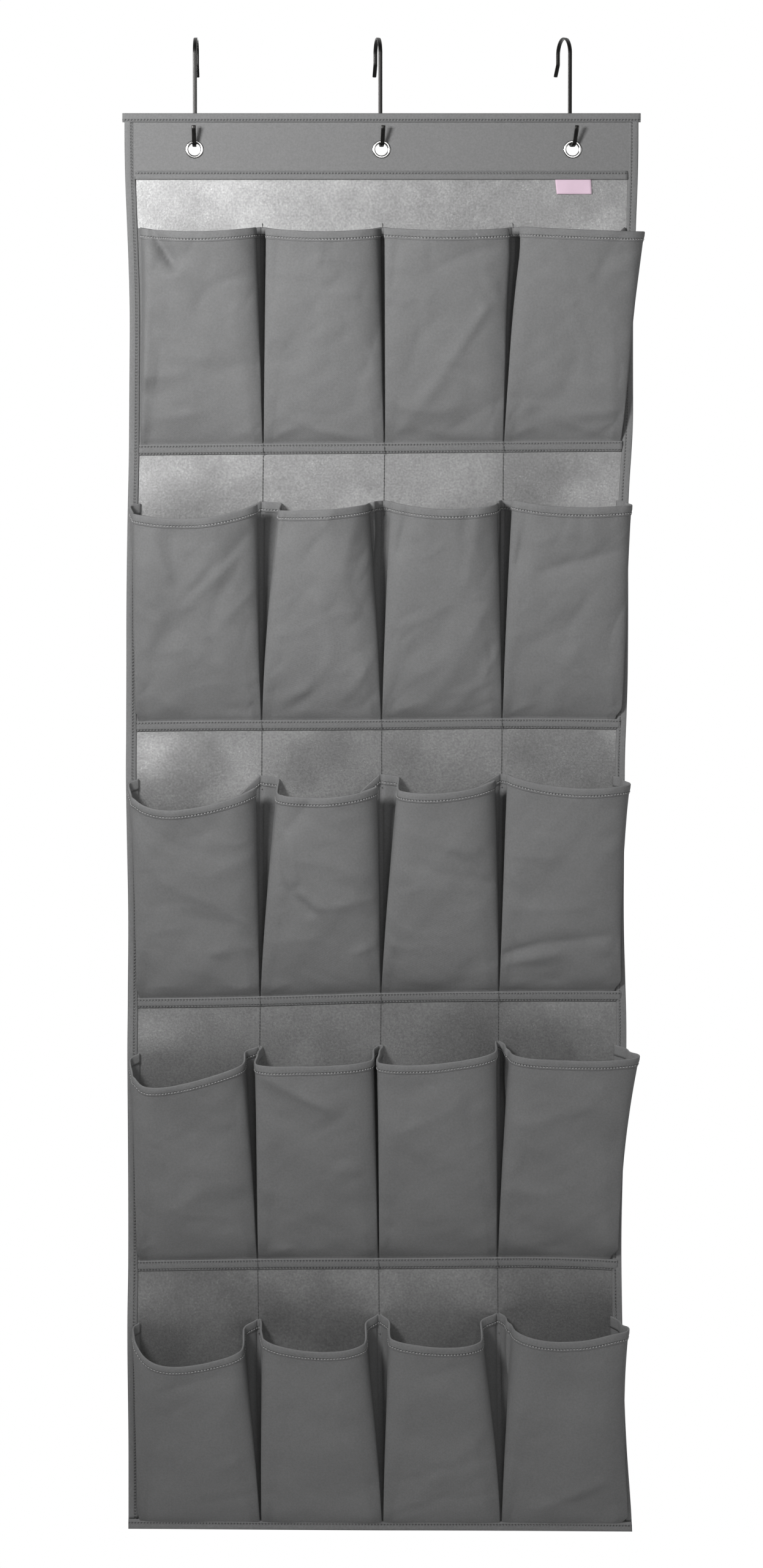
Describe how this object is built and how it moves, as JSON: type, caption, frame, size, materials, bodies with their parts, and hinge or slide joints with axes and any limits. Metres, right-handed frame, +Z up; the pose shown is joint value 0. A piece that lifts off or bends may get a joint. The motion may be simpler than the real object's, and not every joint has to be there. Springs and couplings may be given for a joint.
{
  "type": "hanging shoe organizer",
  "caption": "Cloth shoe organizer for a wardrobe rail: a tall panel with rows of pleated pockets and a stiff header hung on swivelling S-hooks.",
  "frame": {"origin": "on the axis of the wardrobe rail that the hooks hang from, straight above the centre eyelet", "axes": "+Z up; -Y towards the viewer, the way the pockets open; +X to the viewer's right, along the rail"},
  "size_m": [0.5054, 0.0998, 1.4757],
  "materials": {
    "cloth": "smooth tightly woven grey cloth, matt",
    "tape": "grey cloth tape, matt, sewn with grey thread",
    "panel": "pale grey spun nonwoven with a fine diagonal emboss",
    "stiffener": "plain board, hidden",
    "label": "bare woven satin tape",
    "nickel": "bright nickel plate",
    "hook": "dark gunmetal, half gloss"
  },
  "bodies": {
    "organizer": {"back_panel": "panel", "header_band": "cloth", "header_stiffener": "stiffener", "header_tape": "tape", "blank_label": "label", "top_binding": "tape", "bottom_binding": "tape", "side_binding_left": "tape", "side_binding_right": "tape", "pocket_row_1": "cloth", "pocket_row_2": "cloth", "pocket_row_3": "cloth", "pocket_row_4": "cloth", "pocket_row_5": "cloth", "pocket_hem_1": "tape", "pocket_hem_2": "tape", "pocket_hem_3": "tape", "pocket_hem_4": "tape", "pocket_hem_5": "tape", "seam_tape_1": "tape", "seam_tape_2": "tape", "seam_tape_3": "tape", "seam_tape_4": "tape", "eyelet_barrel_left": "nickel", "eyelet_washer_left": "nickel", "eyelet_barrel_centre": "nickel", "eyelet_washer_centre": "nickel", "eyelet_barrel_right": "nickel", "eyelet_washer_right": "nickel"},
    "hook_left": {"hook_left": "hook"},
    "hook_centre": {"hook_centre": "hook"},
    "hook_right": {"hook_right": "hook"}
  },
  "joints": [
    {"name": "hook_left_swivel", "type": "hinge", "parent": "organizer", "child": "hook_left", "pos_m": [-0.182, -0.023, -0.096], "axis": [0, 0, 1], "range_deg": [-24, 24]},
    {"name": "hook_centre_swivel", "type": "hinge", "parent": "organizer", "child": "hook_centre", "pos_m": [0, -0.023, -0.096], "axis": [0, 0, 1], "range_deg": [-33, 15]},
    {"name": "hook_right_swivel", "type": "hinge", "parent": "organizer", "child": "hook_right", "pos_m": [0.186, -0.023, -0.096], "axis": [0, 0, 1], "range_deg": [-42, 6]}
  ]
}
